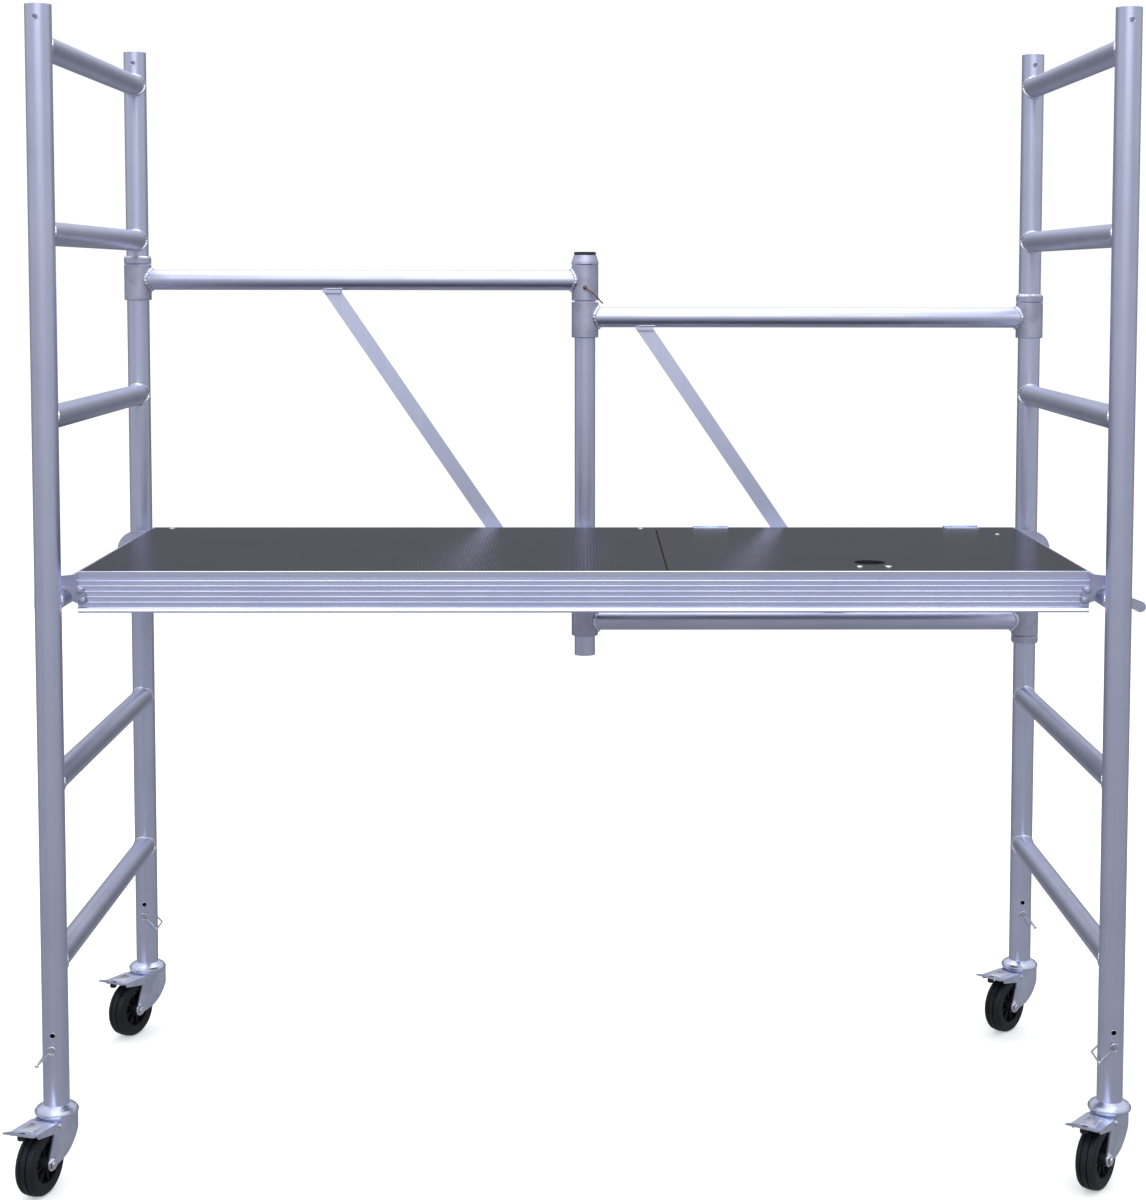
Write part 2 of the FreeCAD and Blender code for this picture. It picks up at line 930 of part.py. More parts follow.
def claw(y0, y1):
    # The right-hand hook: x grows away from the platform, over the rung.
    radius = claw_recess
    cx = half_length - claw_recess_inward
    cz = deck_rung - claw_recess_drop
    x = half_length
    z = deck_rung
    outer = claw_outer
    wall = cz - 2.0
    lip_low = z - claw_lip_drop
    drop = math.sqrt(radius**2 - 4.0)
    lip_in = cx + drop
    lip_out = x + outer
    lip_mid = (lip_in + lip_out) / 2
    round_end = (lip_out - lip_in) / 2
    tongue = x - (half_length - deck_half) - 13.0
    rail_end = deck_half
    points = [
        (rail_end, z + outer + 3.5),
        (x, z + outer),
        (x + outer * 0.7071, z + outer * 0.7071, "via"),
        (lip_out, z),
        (lip_out, lip_low + round_end),
        (lip_mid, lip_low, "via"),
        (lip_in, lip_low + round_end),
        (lip_in, wall),
        (cx, cz + radius, "via"),
        (cx - drop, wall),
        (rail_end - 2, z - 9),
        (tongue + 6, z - 12),
        (tongue, z + 1, "via"),
        (tongue + 6, z + 15),
        (rail_end, z + 17),
    ]
    return plate_xz(points, y0, y1)


def claws():
    front = claw(-rail_face - claw_plate, -rail_face)
    px, pz = catch_pivot
    for d, z in claw_rivets_at:
        x = half_length - d
        front = front.cut(rod(claw_rivet, (x, -rail_face - 20, z), (x, 0, z)))
    hole = rod(3 + running, (px, -rail_face - 20, pz), (px, 0, pz))
    made = [front.cut(hole), mirrored_x(front), mirrored_y(front)]
    made.append(mirrored_x(mirrored_y(front)))
    return Part.makeCompound(made)


def claw_fixings():
    made = []
    face = rail_face + claw_plate
    back = rail_face - rail_web
    for d, z in claw_rivets_at:
        for side in (-1, 1):
            x = side * (half_length - d)
            for end in (-1, 1):
                shank = rod(claw_rivet, (x, end * back, z), (x, end * face, z))
                head = turned(
                    [(0, 0), (claw_rivet + 2.3, 0), (claw_rivet + 0.8, 1.8), (0, 2.4)],
                    (x, end * face, z),
                    (0, end, 0),
                )
                made.append(union([shank, head]))
    return Part.makeCompound(made)


def wind_catch():
    # A round-ended bar on its own rivet, drawn swung out clear of the rung.
    px, pz = catch_pivot
    droop = math.radians(catch_droop)
    ex = px + catch_length * math.cos(droop)
    ez = pz - catch_length * math.sin(droop)
    face = -rail_face - claw_plate - slip
    small = catch_pivot_width / 2
    large = catch_width / 2
    ends = [
        rod(small, (px, face - catch_plate, pz), (px, face, pz)),
        rod(large, (ex, face - catch_plate, ez), (ex, face, ez)),
    ]
    side_x = math.sin(droop)
    side_z = math.cos(droop)
    bar = plate_xz(
        [
            (px + small * side_x, pz + small * side_z),
            (ex + large * side_x, ez + large * side_z),
            (ex - large * side_x, ez - large * side_z),
            (px - small * side_x, pz - small * side_z),
        ],
        face - catch_plate,
        face,
    )
    back = -rail_face + slip
    shank = rod(3, (px, face - catch_plate, pz), (px, back, pz))
    head = rod(5, (px, face - catch_plate - 1.8, pz), (px, face - catch_plate, pz))
    tail = rod(5, (px, back, pz), (px, back + 1.8, pz))
    return union(ends + [bar, shank, head, tail])


# ---- Nodes --------------------------------------------------------------------

nodes = {}
shift = Vector(middle_x, middle_y, 0)


def add(name, shape):
    shape = shape.copy()
    shape.translate(shift)
    nodes[name] = shape


for side, x in (("left", -half_length), ("right", half_length)):
    add(f"{side}_front_post", post(f"front_{side}"))
    add(f"{side}_rear_post", post(f"rear_{side}"))
    add(f"{side}_rungs", rungs(x))
add("left_stop_rings", stop_rings(-half_length, left_upper_tube, left_lower_tube))
add("right_stop_rings", stop_rings(half_length, right_upper_tube, right_lower_tube))

for corner, (x, y) in posts.items():
    heading = caster_headings[corner]

    def placed(shape):
        shape = shape.copy()
        shape.rotate(Vector(0, 0, 0), Vector(0, 0, 1), heading)
        shape.translate(Vector(x, y, 0))
        return shape

    stem_body, stem_hole = stem()
    stem_body = stem_body.cut(stem_hole)
    stem_body.translate(Vector(x, y, 0))
    pin = lock_pin(bail_sides[corner])
    if bail_sides[corner] < 0:
        pin.rotate(Vector(0, 0, 0), Vector(0, 0, 1), 180)
    pin.translate(Vector(x, y, 0))
    add(f"{corner}_stem", stem_body)
    add(f"{corner}_lock_pin", pin)
    add(f"{corner}_fork", placed(fork()))
    add(f"{corner}_bolts", placed(Part.makeCompound([axle_bolt(), pivot_pin()])))
    add(f"{corner}_hub", placed(hub()))
    add(f"{corner}_tyre", placed(tyre()))
    add(f"{corner}_pedal", placed(pedal()))

add("left_gate_upper_tube", gate_tube(-half_length, 0, left_upper_tube))
add("left_gate_lower_tube", gate_tube(-half_length, 0, left_lower_tube))
add("right_gate_upper_tube", gate_tube(0, half_length, right_upper_tube))
add("right_gate_lower_tube", gate_tube(0, half_length, right_lower_tube))
add(
    "left_gate_brace",
    brace(
        brace_outer_inset - half_length,
        -brace_inner_inset,
        left_upper_tube,
        left_lower_tube,
    ),
)
add(
    "right_gate_brace",
    brace(
        brace_inner_inset,
        half_length - brace_outer_inset,
        right_upper_tube,
        right_lower_tube,
    ),
)
add(
    "left_gate_sleeves",
    gate_sleeves(-half_length, left_upper_tube, left_lower_tube, centre_radius),
)
add(
    "right_gate_sleeves",
    gate_sleeves(half_length, right_upper_tube, right_lower_tube, centre_radius + loose),
)
add("centre_post", centre_post())
add("centre_collar", centre_collar())
add("centre_plug", centre_plug())
add("gate_clip", gate_clip())

front_rail = side_rail()
add("deck_front_rail", front_rail)
add("deck_rear_rail", mirrored_y(front_rail))
add("deck_cross_beams", cross_beams())
add("deck_board", deck_board())
add("deck_claws", claws())
add("deck_claw_rivets", claw_fixings())
add("deck_hinge_leaves", fixed_leaves())
add("deck_hinge_pins", hinge_pins())
add("hatch_board", hatch_board())
add("hatch_hinge_leaves", moving_leaves())
add("hatch_latch", hatch_latch())
add("wind_catch", wind_catch())

os.makedirs("parts", exist_ok=True)
for name, shape in nodes.items():
    shape.exportStep(f"parts/{name}.step")
print(len(nodes), "nodes written")
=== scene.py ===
import math

import bmesh
import bpy
from mathutils import Matrix, Vector


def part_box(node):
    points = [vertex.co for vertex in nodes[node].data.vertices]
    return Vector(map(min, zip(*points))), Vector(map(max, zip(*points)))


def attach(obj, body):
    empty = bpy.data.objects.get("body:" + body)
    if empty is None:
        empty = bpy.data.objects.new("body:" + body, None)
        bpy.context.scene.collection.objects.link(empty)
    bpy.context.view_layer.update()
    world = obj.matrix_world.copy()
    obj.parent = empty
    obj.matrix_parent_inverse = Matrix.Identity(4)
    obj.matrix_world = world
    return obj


# Baker scaffold: finishes for the CAD frame, and the welds, fasteners, pads and
# other small pieces that ride on it. Metres, Z up, floor at Z = 0. Small sizes are
# written as millimetres times MM.

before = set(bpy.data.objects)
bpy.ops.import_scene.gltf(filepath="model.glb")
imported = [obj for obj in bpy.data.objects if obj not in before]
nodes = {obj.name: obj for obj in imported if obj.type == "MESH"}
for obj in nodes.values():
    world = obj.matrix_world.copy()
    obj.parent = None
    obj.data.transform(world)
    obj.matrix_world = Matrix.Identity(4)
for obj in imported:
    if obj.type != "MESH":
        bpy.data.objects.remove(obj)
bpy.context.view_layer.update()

CORNERS = ("front_left", "front_right", "rear_left", "rear_right")
MM = 0.001


def middle(node):
    """The middle of a node's box."""
    low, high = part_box(node)
    return (low + high) / 2


def span(node):
    """The three sizes of a node's box."""
    low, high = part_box(node)
    return high - low


# ---- Places read from the frame -------------------------------------------------

POST_AXIS = {}
for corner in CORNERS:
    depth, side = corner.split("_")
    POST_AXIS[corner] = middle(f"{side}_{depth}_post")
POST_R = span("left_front_post").x / 2
POST_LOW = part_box("left_front_post")[0].z
POST_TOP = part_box("left_front_post")[1].z
RUNG_R = span("left_rungs").x / 2
RUNG_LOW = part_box("left_rungs")[0].z + RUNG_R
RUNG_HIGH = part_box("left_rungs")[1].z - RUNG_R
RUNG_COUNT = 6
RUNGS = [RUNG_LOW + n * (RUNG_HIGH - RUNG_LOW) / (RUNG_COUNT - 1) for n in range(RUNG_COUNT)]
TUBE_R = span("left_gate_upper_tube").z / 2
REAR_Y = POST_AXIS["rear_left"].y
SLEEVE_R = span("left_gate_sleeves").y / 2
CENTRE_X = middle("centre_post").x
RAIL_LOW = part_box("deck_front_rail")[0]
BOARD_LOW, BOARD_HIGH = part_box("deck_board")
HATCH_LOW, HATCH_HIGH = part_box("hatch_board")
DECK_FRONT = RAIL_LOW.y
DECK_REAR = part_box("deck_rear_rail")[1].y

# ---- Materials --------------------------------------------------------------------

# The colour sockets of a mix node.
MIX_A, MIX_B, MIX_RESULT = 6, 7, 2


class Nodes:
    """Short calls for building a node tree. Noise scales are in cycles per metre."""

    def __init__(self, tree):
        self.tree = tree
        tree.nodes.clear()

    def add(self, kind):
        return self.tree.nodes.new("ShaderNode" + kind)

    def link(self, a, b):
        self.tree.links.new(a, b)

    def plug(self, value, socket):
        """Links a socket to another, or sets it to a plain value."""
        if isinstance(value, bpy.types.NodeSocket):
            self.link(value, socket)
        else:
            socket.default_value = value

    def noise(self, vector, scale, detail=3.0, rough=0.5, distort=0.0):
        node = self.add("TexNoise")
        self.link(vector, node.inputs["Vector"])
        node.inputs["Scale"].default_value = scale
        node.inputs["Detail"].default_value = detail
        node.inputs["Roughness"].default_value = rough
        node.inputs["Distortion"].default_value = distort
        return node.outputs[0]

    def math(self, how, a, b=0.0, c=0.0):
        node = self.add("Math")
        node.operation = how
        for value, socket in zip((a, b, c), node.inputs):
            self.plug(value, socket)
        return node.outputs[0]

    def ramp(self, value, low, high, a=0.0, b=1.0):
        """Goes smoothly from a to b while value goes from low to high."""
        node = self.add("MapRange")
        node.interpolation_type = "SMOOTHSTEP"
        self.plug(value, node.inputs["Value"])
        for key, number in (("From Min", low), ("From Max", high), ("To Min", a), ("To Max", b)):
            node.inputs[key].default_value = number
        return node.outputs[0]

    def axis(self, vector, name):
        node = self.add("SeparateXYZ")
        self.link(vector, node.inputs[0])
        return node.outputs[name]

    def mix(self, share, a, b):
        node = self.add("Mix")
        node.data_type = "RGBA"
        self.plug(share, node.inputs["Factor"])
        self.plug(a, node.inputs[MIX_A])
        self.plug(b, node.inputs[MIX_B])
        return node.outputs[MIX_RESULT]

    def bump(self, height, strength, distance, under=None):
        node = self.add("Bump")
        node.inputs["Strength"].default_value = strength
        node.inputs["Distance"].default_value = distance
        self.link(height, node.inputs["Height"])
        if under is not None:
            self.link(under, node.inputs["Normal"])
        return node.outputs[0]


class Finish(Nodes):
    """A material's node tree, which ends in one principled shader."""

    def __init__(self, name):
        self.material = bpy.data.materials.new(name)
        self.material.use_nodes = True
        super().__init__(self.material.node_tree)
        out = self.add("OutputMaterial")
        self.shader = self.add("BsdfPrincipled")
        self.link(self.shader.outputs[0], out.inputs[0])
        coords = self.add("TexCoord")
        self.place = coords.outputs["Object"]
        self.normal = coords.outputs["Normal"]

    def scaled(self, scale):
        """The object's own coordinates, stretched by scale."""
        node = self.add("Mapping")
        node.inputs["Scale"].default_value = scale
        self.link(self.place, node.inputs["Vector"])
        return node.outputs[0]

    def set(self, **values):
        """Fills the shader's inputs and hands over the material."""
        for key, value in values.items():
            self.plug(value, self.shader.inputs[key.replace("_", " ")])
        return self.material


def rgb(r, g, b):
    return (r, g, b, 1.0)


def dimmed(colour, share):
    return rgb(*[c * share for c in colour])


def stretched(along, across_scale, along_scale):
    """Scales for a noise that is drawn out along one axis."""
    return [along_scale if axis == along else across_scale for axis in "xyz"]


def drawn_metal(name, along, light, dark, rough):
    """Aluminium tube: fine lines along its length, cloudy oxide, small scuffs."""
    n = Finish(name)
    lines = n.noise(n.scaled(stretched(along, 900.0, 6.0)), 1.0, 2.0, 0.6)
    bands = n.noise(n.scaled(stretched(along, 60.0, 1.2)), 1.0, 2.0, 0.5)
    cloud = n.noise(n.scaled((9.0, 9.0, 9.0)), 1.0, 4.0, 0.6, 0.3)
    scuff = n.ramp(n.noise(n.scaled((140.0, 140.0, 26.0)), 1.0, 5.0, 0.75, 1.5), 0.62, 0.74)
    slow_tone = n.math("MULTIPLY_ADD", bands, 0.40, n.math("MULTIPLY", cloud, 0.38))
    tone = n.math("MULTIPLY_ADD", lines, 0.22, slow_tone)
    colour = n.mix(n.ramp(tone, 0.34, 0.66), rgb(*dark), rgb(*light))
    colour = n.mix(n.math("MULTIPLY", scuff, 0.35), colour, dimmed(dark, 0.72))
    polish = n.ramp(tone, 0.3, 0.7, rough + 0.06, rough - 0.06)
    roughness = n.math("ADD", polish, n.math("MULTIPLY", scuff, 0.12))
    normal = n.bump(lines, 0.10, 0.4 * MM)
    return n.set(Base_Color=colour, Metallic=1.0, Roughness=roughness, Normal=normal)


def cast_metal(name, light, dark, rough, grain=420.0, strength=0.25):
    """Sand-blasted or plated metal: small grain, cloudy tone, darker stained patches."""
    n = Finish(name)
    fine = n.noise(n.place, grain, 3.0, 0.6)
    cloud = n.noise(n.place, 26.0, 4.0, 0.62, 0.4)
    stain = n.ramp(n.noise(n.place, 90.0, 5.0, 0.7, 0.8), 0.58, 0.72)
    colour = n.mix(n.ramp(cloud, 0.32, 0.68), rgb(*dark), rgb(*light))
    colour = n.mix(n.math("MULTIPLY", stain, 0.35), colour, dimmed(dark, 0.6))
    roughness = n.math("MULTIPLY_ADD", cloud, 0.16, n.math("MULTIPLY_ADD", stain, 0.12, rough - 0.08))
    normal = n.bump(fine, strength, 0.3 * MM)
    return n.set(Base_Color=colour, Metallic=1.0, Roughness=roughness, Normal=normal)


def rubber(name, tone, rough):
    """Moulded rubber or plastic: fine grain, with pale dust in patches."""
    n = Finish(name)
    fine = n.noise(n.place, 900.0, 3.0, 0.6)
    dust = n.ramp(n.noise(n.place, 34.0, 5.0, 0.65, 0.6), 0.42, 0.72)
    dusty = [c * 1.7 + 0.006 for c in tone]
    colour = n.mix(n.math("MULTIPLY", dust, 0.6), rgb(*tone), rgb(*dusty))
    roughness = n.math("MULTIPLY_ADD", dust, 0.18, rough)
    normal = n.bump(fine, 0.25, 0.4 * MM)
    return n.set(Base_Color=colour, Roughness=roughness, Specular_IOR_Level=0.35, Normal=normal)


PLY = 3.2 * MM
WEAVE = 5 * MM


def board_film(name, lined):
    """Film-faced plywood: charcoal film on both faces, bare layers at the edges.

    The film's weave runs along Y on the lined board and along X on the plain one."""
    n = Finish(name)
    cloud = n.noise(n.scaled((3.0, 7.0, 3.0)), 1.0, 4.0, 0.6, 0.3)
    speck = n.ramp(n.noise(n.place, 260.0, 4.0, 0.7), 0.60, 0.78)
    scratch = n.ramp(n.noise(n.scaled((14.0, 420.0, 14.0)), 1.0, 3.0, 0.7, 0.6), 0.66, 0.74)
    film = n.mix(n.ramp(cloud, 0.3, 0.7), rgb(0.009, 0.009, 0.017), rgb(0.016, 0.016, 0.028))
    film = n.mix(n.math("MULTIPLY", speck, 0.35), film, rgb(0.055, 0.055, 0.066))
    film = n.mix(n.math("MULTIPLY", scratch, 0.4), film, rgb(0.080, 0.080, 0.095))
    layers = n.math("FRACT", n.math("MULTIPLY", n.axis(n.place, "Z"), 1 / PLY))
    ply = n.mix(n.ramp(layers, 0.44, 0.56), rgb(0.17, 0.105, 0.055), rgb(0.30, 0.20, 0.115))
    grain = n.noise(n.scaled((40.0, 40.0, 900.0)), 1.0, 4.0, 0.6)
    ply = n.mix(n.ramp(grain, 0.35, 0.75, 0.0, 0.5), ply, rgb(0.10, 0.06, 0.035))
    flat = n.ramp(n.math("ABSOLUTE", n.axis(n.normal, "Z")), 0.55, 0.8)
    colour = n.mix(flat, ply, film)
    polish = n.ramp(cloud, 0.3, 0.7, 0.53, 0.49)
    roughness = n.math("SUBTRACT", 0.72, n.math("MULTIPLY", flat, polish))
    across, along = ("X", "Y") if lined else ("Y", "X")
    weave = n.math("SINE", n.math("MULTIPLY", n.axis(n.place, across), 2 * math.pi / WEAVE))
    cross = n.math("SINE", n.math("MULTIPLY", n.axis(n.place, along), 4 * math.pi / WEAVE))
    relief = n.math("MULTIPLY_ADD", weave, 0.5, n.math("MULTIPLY", cross, 0.12))
    grit = n.bump(n.noise(n.place, 700.0, 2.0), 0.06, 0.3 * MM)
    normal = n.bump(relief, 0.10, 0.3 * MM, grit)
    return n.set(
        Base_Color=colour,
        Roughness=roughness,
        Normal=normal,
        Specular_IOR_Level=0.06,
        Specular_Tint=rgb(0.76, 0.80, 1.0),
    )


def rusty_wire(name):
    """Plated wire with patches of rust."""
    n = Finish(name)
    patch = n.ramp(n.noise(n.place, 120.0, 4.0, 0.7), 0.42, 0.60)
    colour = n.mix(patch, rgb(0.13, 0.12, 0.12), rgb(0.30, 0.10, 0.055))
    roughness = n.ramp(patch, 0.0, 1.0, 0.42, 0.85)
    metal = n.ramp(patch, 0.0, 1.0, 0.9, 0.1)
    normal = n.bump(patch, 0.3, 0.4 * MM)
    return n.set(Base_Color=colour, Metallic=metal, Roughness=roughness, Normal=normal)


def weld_metal(name):
    """Bright weld bead with a little soot."""
    n = Finish(name)
    fine = n.noise(n.place, 500.0, 3.0, 0.6)
    soot = n.ramp(n.noise(n.place, 70.0, 4.0, 0.6), 0.50, 0.75)
    colour = n.mix(n.math("MULTIPLY", soot, 0.45), rgb(0.88, 0.89, 0.96), rgb(0.45, 0.45, 0.50))
    return n.set(
        Base_Color=colour,
        Metallic=1.0,
        Roughness=n.math("MULTIPLY_ADD", soot, 0.2, 0.30),
        Normal=n.bump(fine, 0.2, 0.3 * MM),
    )


# Metals give their grain's direction, light tone, dark tone and roughness.
MAT = {
    "post": drawn_metal("drawn_aluminium_posts", "z", (0.76, 0.79, 0.98), (0.62, 0.645, 0.82), 0.34),
    "rung": drawn_metal("drawn_aluminium_rungs", "y", (0.70, 0.72, 0.89), (0.56, 0.58, 0.73), 0.38),
    "gate_tube": drawn_metal("drawn_aluminium_gate", "x", (0.75, 0.77, 0.94), (0.64, 0.66, 0.82), 0.43),
    # The flat bar's tones are lighter than the posts' as painted light, making up for the dim room that
    # it reflects.
    "flat_bar": drawn_metal("drawn_aluminium_bar", "z", (0.82, 0.85, 1.0), (0.72, 0.75, 0.96), 0.45),
    "rail": drawn_metal("extruded_aluminium", "x", (0.80, 0.83, 1.0), (0.68, 0.71, 0.90), 0.30),
    "sleeve": cast_metal("sleeve_aluminium", (0.62, 0.625, 0.77), (0.49, 0.495, 0.62), 0.48, 500.0, 0.12),
    "casting": cast_metal("claw_aluminium", (0.60, 0.61, 0.74), (0.46, 0.47, 0.58), 0.46),
    "zinc": cast_metal("zinc_plate", (0.78, 0.82, 0.98), (0.62, 0.66, 0.82), 0.30, 300.0, 0.06),
    "bright": cast_metal("bright_steel", (0.86, 0.87, 0.93), (0.70, 0.71, 0.78), 0.26, 300.0, 0.05),
    "wire": cast_metal("wire_steel", (0.72, 0.74, 0.80), (0.54, 0.56, 0.63), 0.32, 600.0, 0.05),
    "weld": weld_metal("weld_bead"),
    "tyre": rubber("tyre_rubber", (0.005, 0.005, 0.009), 0.42),
    "hub": rubber("moulded_hub", (0.005, 0.005, 0.008), 0.42),
    "pad": rubber("pedal_rubber", (0.008, 0.008, 0.010), 0.60),
    "plug": rubber("plug_plastic", (0.022, 0.022, 0.034), 0.40),
    "lined": board_film("board_film_lined", True),
    "plain": board_film("board_film_plain", False),
    "clip": rusty_wire("clip_wire"),
}

# The finish of each CAD node, by the end of its name.
NODE_FINISH = (
    ("_front_post", "post"),
    ("_rear_post", "post"),
    ("_rungs", "rung"),
    ("_stop_rings", "sleeve"),
    ("_stem", "zinc"),
    ("_lock_pin", "wire"),
    ("_fork", "zinc"),
    ("_bolts", "bright"),
    ("_hub", "hub"),
    ("_tyre", "tyre"),
    ("_pedal", "zinc"),
    ("_tube", "gate_tube"),
    ("_brace", "flat_bar"),
    ("_sleeves", "sleeve"),
    ("centre_post", "post"),
    ("centre_collar", "sleeve"),
    ("centre_plug", "plug"),
    ("gate_clip", "clip"),
    ("_rail", "rail"),
    ("cross_beams", "rail"),
    ("deck_board", "lined"),
    ("deck_claws", "casting"),
    ("claw_rivets", "casting"),
    ("hinge_leaves", "zinc"),
    ("hinge_pins", "bright"),
    ("hatch_board", "plain"),
    ("hatch_latch", "bright"),
    ("wind_catch", "casting"),
)


def finish_for(name):
    for ending, finish in NODE_FINISH:
        if name.endswith(ending):
            return finish
    raise RuntimeError(f"no finish for {name}")


for name, obj in nodes.items():
    for slot in obj.material_slots:
        slot.material = MAT[finish_for(name)]

# ---- Building helpers ----------------------------------------------------------------


def piece(name, mesh_maker, body, finish, smooth=35.0):
    """Makes a mesh object from a bmesh, with a finish, riding on a body."""
    bm = bmesh.new()
    mesh_maker(bm)
    bmesh.ops.recalc_face_normals(bm, faces=bm.faces)
    limit = math.radians(smooth)
    for face in bm.faces:
        face.smooth = True
    for edge in bm.edges:
        if len(edge.link_faces) == 2 and edge.calc_face_angle(0.0) > limit:
            edge.smooth = False
    mesh = bpy.data.meshes.new(name)
    bm.to_mesh(mesh)
    bm.free()
    obj = bpy.data.objects.new(name, mesh)
    bpy.context.scene.collection.objects.link(obj)
    mesh.materials.append(MAT[finish])
    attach(obj, body)


X, Y, Z = Vector((1, 0, 0)), Vector((0, 1, 0)), Vector((0, 0, 1))


def circle(bm, centre, u, v, radius, sides):
    """A row of vertices round centre, in the plane of u and v."""
    angles = [2 * math.pi * k / sides for k in range(sides)]
    return [bm.verts.new(centre + (u * math.cos(a) + v * math.sin(a)) * radius) for a in angles]


def join_rows(bm, a, b):
    """Quads all the way round between two rows of vertices."""
    for k in range(len(a)):
        j = (k + 1) % len(a)
        bm.faces.new((a[k], a[j], b[j], b[k]))


def close_ends(bm, rows):
    bm.faces.new(list(reversed(rows[0])))
    bm.faces.new(rows[-1])


def ring_tube(bm, centres, frames, radii, closed=True):
    """A tube through centres; frames give its two cross directions."""
    rows = [circle(bm, c, u, v, r, 8) for c, (u, v), r in zip(centres, frames, radii)]
    for a, b in zip(rows, rows[1:]):
        join_rows(bm, a, b)
    if closed:
        join_rows(bm, rows[-1], rows[0])
    else:
        close_ends(bm, rows)


def ripple(phase, low=0.80, lift=0.26):
    """A bead's swelling, which falls off over each ripple as phase goes from 0 to 1."""
    return low + lift * (1 - phase) ** 1.5


def saddle_bead(bm, base, out, side, wall_r, tube_r, width, seed):
    """A weld bead where a tube of tube_r meets a round wall of wall_r.

    base is where the two axes meet, out points along the tube, side is level."""
    up = out.cross(side)
    steps, ripples = 88, 22
    centres, frames, radii = [], [], []
    for n in range(steps):
        t = 2 * math.pi * n / steps
        reach = math.cos(t) * tube_r
        depth = math.sqrt(max(wall_r**2 - reach**2, 0.0))
        wobble = 1 + 0.08 * math.sin(3 * t + seed) + 0.05 * math.sin(7 * t + 2 * seed)
        centres.append(base + side * reach + up * (math.sin(t) * tube_r) + out * (depth + width * 0.2))
        radial = side * math.cos(t) + up * math.sin(t)
        frames.append((radial, out))
        phase = (ripples * n / steps + 0.1 * seed) % 1.0
        radii.append(width * wobble * ripple(phase))
    ring_tube(bm, centres, frames, radii)


HEAD_SUNK = 0.2 * MM


def add_disc(bm, centre, axis, radius, height, bevel):
    """A short round head with an eased rim, standing on centre along axis."""
    u = axis.orthogonal().normalized()
    v = axis.cross(u)
    profile = (
        (radius, -HEAD_SUNK),
        (radius, height - bevel),
        (radius - bevel * 0.35, height - bevel * 0.35),
        (radius - bevel, height),
    )
    rows = [circle(bm, Vector(centre) + axis * h, u, v, r, 28) for r, h in profile]
    for a, b in zip(rows, rows[1:]):
        join_rows(bm, a, b)
    close_ends(bm, rows)


def add_box(bm, matrix, size, bevel):
    """A box of size about the matrix's origin, with its edges eased."""
    made = bmesh.ops.create_cube(bm, size=1.0)["verts"]
    bmesh.ops.scale(bm, vec=size, verts=made)
    edges = {e for v in made for e in v.link_edges}
    out = bmesh.ops.bevel(bm, geom=list(edges), offset=bevel, segments=3, profile=0.5, affect="EDGES")
    made = list({v for f in out["faces"] for v in f.verts} | {v for v in made if v.is_valid})
    bmesh.ops.transform(bm, matrix=matrix, verts=made)


# ---- Welds ------------------------------------------------------------------------------

RUNG_BEAD = 3.0 * MM
RING_BEAD = 2.6 * MM
RING_BEAD_LIFT = 0.6 * MM
GATE_BEAD = 3.6 * MM
STRAIGHT_BEAD = 2.2 * MM
BEAD_INSET = 2 * MM
BEAD_STEP = 0.0009
RIPPLE_PITCH = 4.2 * MM
BRACE_FOOT = 39.5 * MM
BRACE_WELD_Y = 9.8 * MM

for side in ("left", "right"):
    for depth, way in (("front", 1), ("rear", -1)):
        axis = POST_AXIS[f"{depth}_{side}"]

        def beads(bm, axis=axis, way=way):
            for n, z in enumerate(RUNGS):
                base = Vector((axis.x, axis.y, z))
                saddle_bead(bm, base, Y * way, X, POST_R, RUNG_R, RUNG_BEAD, n + axis.x)

        piece(f"{side}_{depth}_rung_welds", beads, f"{side}_frame", "weld", 60)


def post_ring_bead(bm, centre, radius, width, seed):
    """A bead round a post, against the flat end of a ring."""
    steps, ripples = 96, 24
    centres, frames, radii = [], [], []
    for n in range(steps):
        t = 2 * math.pi * n / steps
        radial = X * math.cos(t) + Y * math.sin(t)
        wobble = 1 + 0.12 * math.sin(4 * t + seed) + 0.08 * math.sin(9 * t + seed)
        phase = (ripples * n / steps + seed) % 1.0
        centres.append(centre + radial * radius)
        frames.append((radial, Z))
        radii.append(width * wobble * ripple(phase))
    ring_tube(bm, centres, frames, radii)


for side in ("left", "right"):
    low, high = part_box(f"{side}_stop_rings")
    axis = POST_AXIS[f"rear_{side}"]

    def ring_beads(bm, low=low, high=high, axis=axis):
        for z, seed in ((high.z, 0.3), (low.z, 1.9)):
            centre = Vector((axis.x, axis.y, z))
            post_ring_bead(bm, centre, POST_R + RING_BEAD_LIFT, RING_BEAD, seed)

    piece(f"{side}_ring_welds", ring_beads, f"{side}_frame", "weld", 60)

for side, outer in (("left", "rear_left"), ("right", "rear_right")):

    def tube_beads(bm, side=side, outer=outer):
        out_x = POST_AXIS[outer].x
        way = 1 if out_x < CENTRE_X else -1
        for level, tube in enumerate(("upper", "lower")):
            z = middle(f"{side}_gate_{tube}_tube").z
            for x, turn in ((out_x, way), (CENTRE_X, -way)):
                base = Vector((x, REAR_Y, z))
                saddle_bead(bm, base, X * turn, Y, SLEEVE_R, TUBE_R, GATE_BEAD, level + x * 3)

    piece(f"{side}_gate_tube_welds", tube_beads, f"{side}_gate", "weld", 60)


def fillet_bead(bm, start, end, seed):
    """A straight bead from start to end, along X, that tapers at both ends."""
    length = (end - start).length
    count = max(8, int(length / BEAD_STEP))
    centres, frames, radii = [], [], []
    for n in range(count + 1):
        s = n / count
        phase = (s * length / RIPPLE_PITCH + seed) % 1.0
        taper = min(1.0, 6 * s + 0.45, 6 * (1 - s) + 0.45)
        centres.append(start.lerp(end, s))
        frames.append((Y, Z))
        radii.append(STRAIGHT_BEAD * taper * ripple(phase, 0.78, 0.28))
    ring_tube(bm, centres, frames, radii, closed=False)


